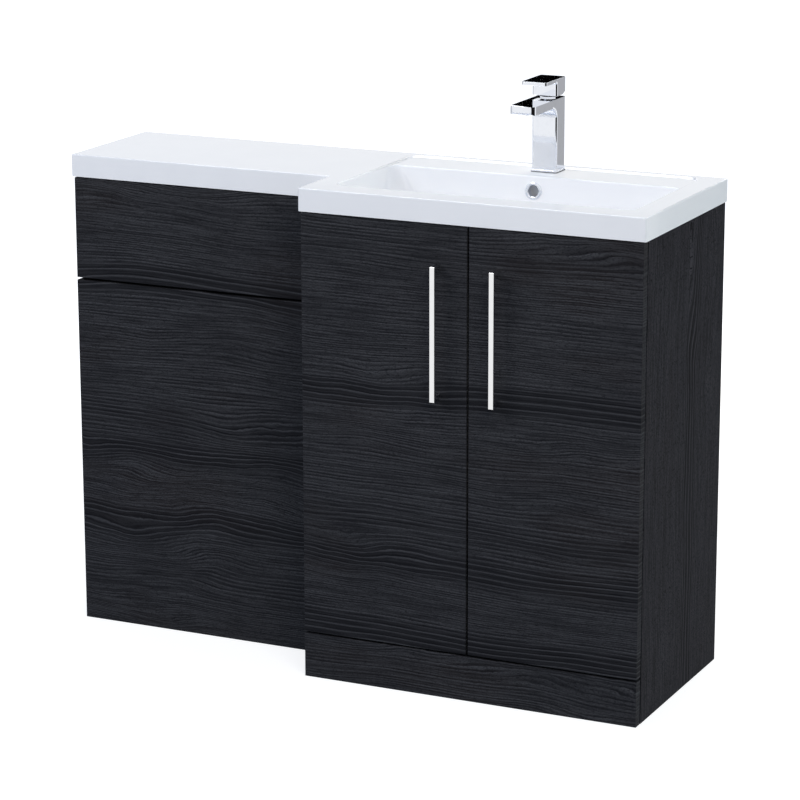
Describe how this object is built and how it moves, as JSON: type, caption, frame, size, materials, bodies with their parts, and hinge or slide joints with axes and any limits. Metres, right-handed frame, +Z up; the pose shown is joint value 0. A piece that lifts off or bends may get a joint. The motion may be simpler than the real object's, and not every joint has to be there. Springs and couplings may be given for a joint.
{
  "type": "toilet and basin combination unit",
  "caption": "L-shaped vanity: a basin cabinet with hinged doors beside a shallower back-to-wall pan unit, under a moulded top with an integral basin and lever tap.",
  "frame": {"origin": "on the floor, under the middle of the whole unit's width and depth, handles included", "axes": "+X along the wall towards the basin end, +Y towards the wall, +Z up"},
  "size_m": [1.1, 0.3964, 0.9885],
  "materials": {
    "polymarble": "gloss",
    "grain_level": "satin",
    "grain_upright": "satin",
    "carcass_board": "matte",
    "tap_chrome": "polished",
    "handle_chrome": "polished",
    "nickel_steel": "satin",
    "zinc_steel": "satin",
    "brass": "satin",
    "white_plastic": "satin",
    "clear_pad": "satin",
    "black_rubber": "matte"
  },
  "bodies": {
    "unit": {"worktop_basin": "polymarble", "basin_side_left": "grain_upright", "basin_side_right": "grain_upright", "basin_base_panel": "carcass_board", "basin_front_rail": "carcass_board", "basin_back_rail_upper": "carcass_board", "basin_back_rail_lower": "carcass_board", "shelf": "carcass_board", "shelf_studs": "zinc_steel", "plinth_board": "grain_level", "plinth_blocks": "carcass_board", "wc_side_left": "grain_upright", "wc_side_right": "grain_upright", "wc_top_rail": "carcass_board", "wc_middle_rail": "carcass_board", "wc_bottom_rail": "carcass_board", "wc_back_rail": "carcass_board", "wc_lower_panel": "grain_level", "lower_panel_studs": "zinc_steel", "panel_sockets": "white_plastic", "cabinet_connectors": "zinc_steel", "wall_brackets": "zinc_steel", "wall_bracket_screws": "zinc_steel", "hinge_arms": "nickel_steel", "hinge_plates": "nickel_steel", "hinge_screws": "zinc_steel", "tap_body": "tap_chrome", "tap_gasket": "black_rubber", "tap_aerator": "tap_chrome", "tap_cartridge": "white_plastic", "cartridge_collar": "tap_chrome", "tap_stud": "nickel_steel", "tap_fixing_pad": "black_rubber", "tap_fixing_washer": "nickel_steel", "tap_fixing_nut": "brass", "waste_body": "tap_chrome", "waste_seal": "black_rubber", "waste_back_nut": "white_plastic", "overflow_ring": "tap_chrome"},
    "left_door_body": {"left_door": "grain_level", "left_handle": "handle_chrome", "left_door_screws": "zinc_steel", "left_hinge_cups": "nickel_steel", "left_door_buffers": "clear_pad"},
    "right_door_body": {"right_door": "grain_level", "right_handle": "handle_chrome", "right_door_screws": "zinc_steel", "right_hinge_cups": "nickel_steel", "right_door_buffers": "clear_pad"},
    "left_links_body": {"left_hinge_links": "nickel_steel"},
    "right_links_body": {"right_hinge_links": "nickel_steel"},
    "access_panel_body": {"wc_access_panel": "grain_level", "access_panel_studs": "zinc_steel"},
    "carrier_body": {"cartridge_carrier": "white_plastic"},
    "lever_body": {"tap_lever": "tap_chrome", "tap_spindle": "nickel_steel", "lever_grub_screw": "nickel_steel"},
    "plug_body": {"waste_plug": "tap_chrome", "waste_plug_seal": "black_rubber"}
  },
  "joints": [
    {"name": "left_link_swing", "type": "hinge", "parent": "unit", "child": "left_links_body", "pos_m": [-0.0195, -0.15125, 0.43675], "axis": [0, 0, -1], "range_deg": [-45, 0]},
    {"name": "left_door_swing", "type": "hinge", "parent": "left_links_body", "child": "left_door_body", "pos_m": [-0.0375, -0.16075, 0.43675], "axis": [0, 0, -1], "range_deg": [0, 145]},
    {"name": "right_link_swing", "type": "hinge", "parent": "unit", "child": "right_links_body", "pos_m": [0.5155, -0.15125, 0.43675], "axis": [0, 0, 1], "range_deg": [-45, 0]},
    {"name": "right_door_swing", "type": "hinge", "parent": "right_links_body", "child": "right_door_body", "pos_m": [0.5335, -0.16075, 0.43675], "axis": [0, 0, 1], "range_deg": [0, 145]},
    {"name": "access_panel_pull", "type": "slide", "parent": "unit", "child": "access_panel_body", "axis": [0, -1, 0], "range_m": [0, 0.06]},
    {"name": "lever_turn", "type": "hinge", "parent": "unit", "child": "carrier_body", "pos_m": [0.248, 0.15425, 0.9455], "axis": [0, 0, 1], "range_deg": [-45, 45]},
    {"name": "lever_lift", "type": "hinge", "parent": "carrier_body", "child": "lever_body", "pos_m": [0.248, 0.15425, 0.9455], "axis": [-1, 0, 0], "range_deg": [0, 22]},
    {"name": "plug_rise", "type": "slide", "parent": "unit", "child": "plug_body", "axis": [0, 0, 1], "range_m": [0, 0.008]}
  ],
  "couplings": [
    {"joint": "left_link_swing", "follows": "left_door_swing", "ratio": -0.31034},
    {"joint": "right_link_swing", "follows": "right_door_swing", "ratio": -0.31034}
  ]
}
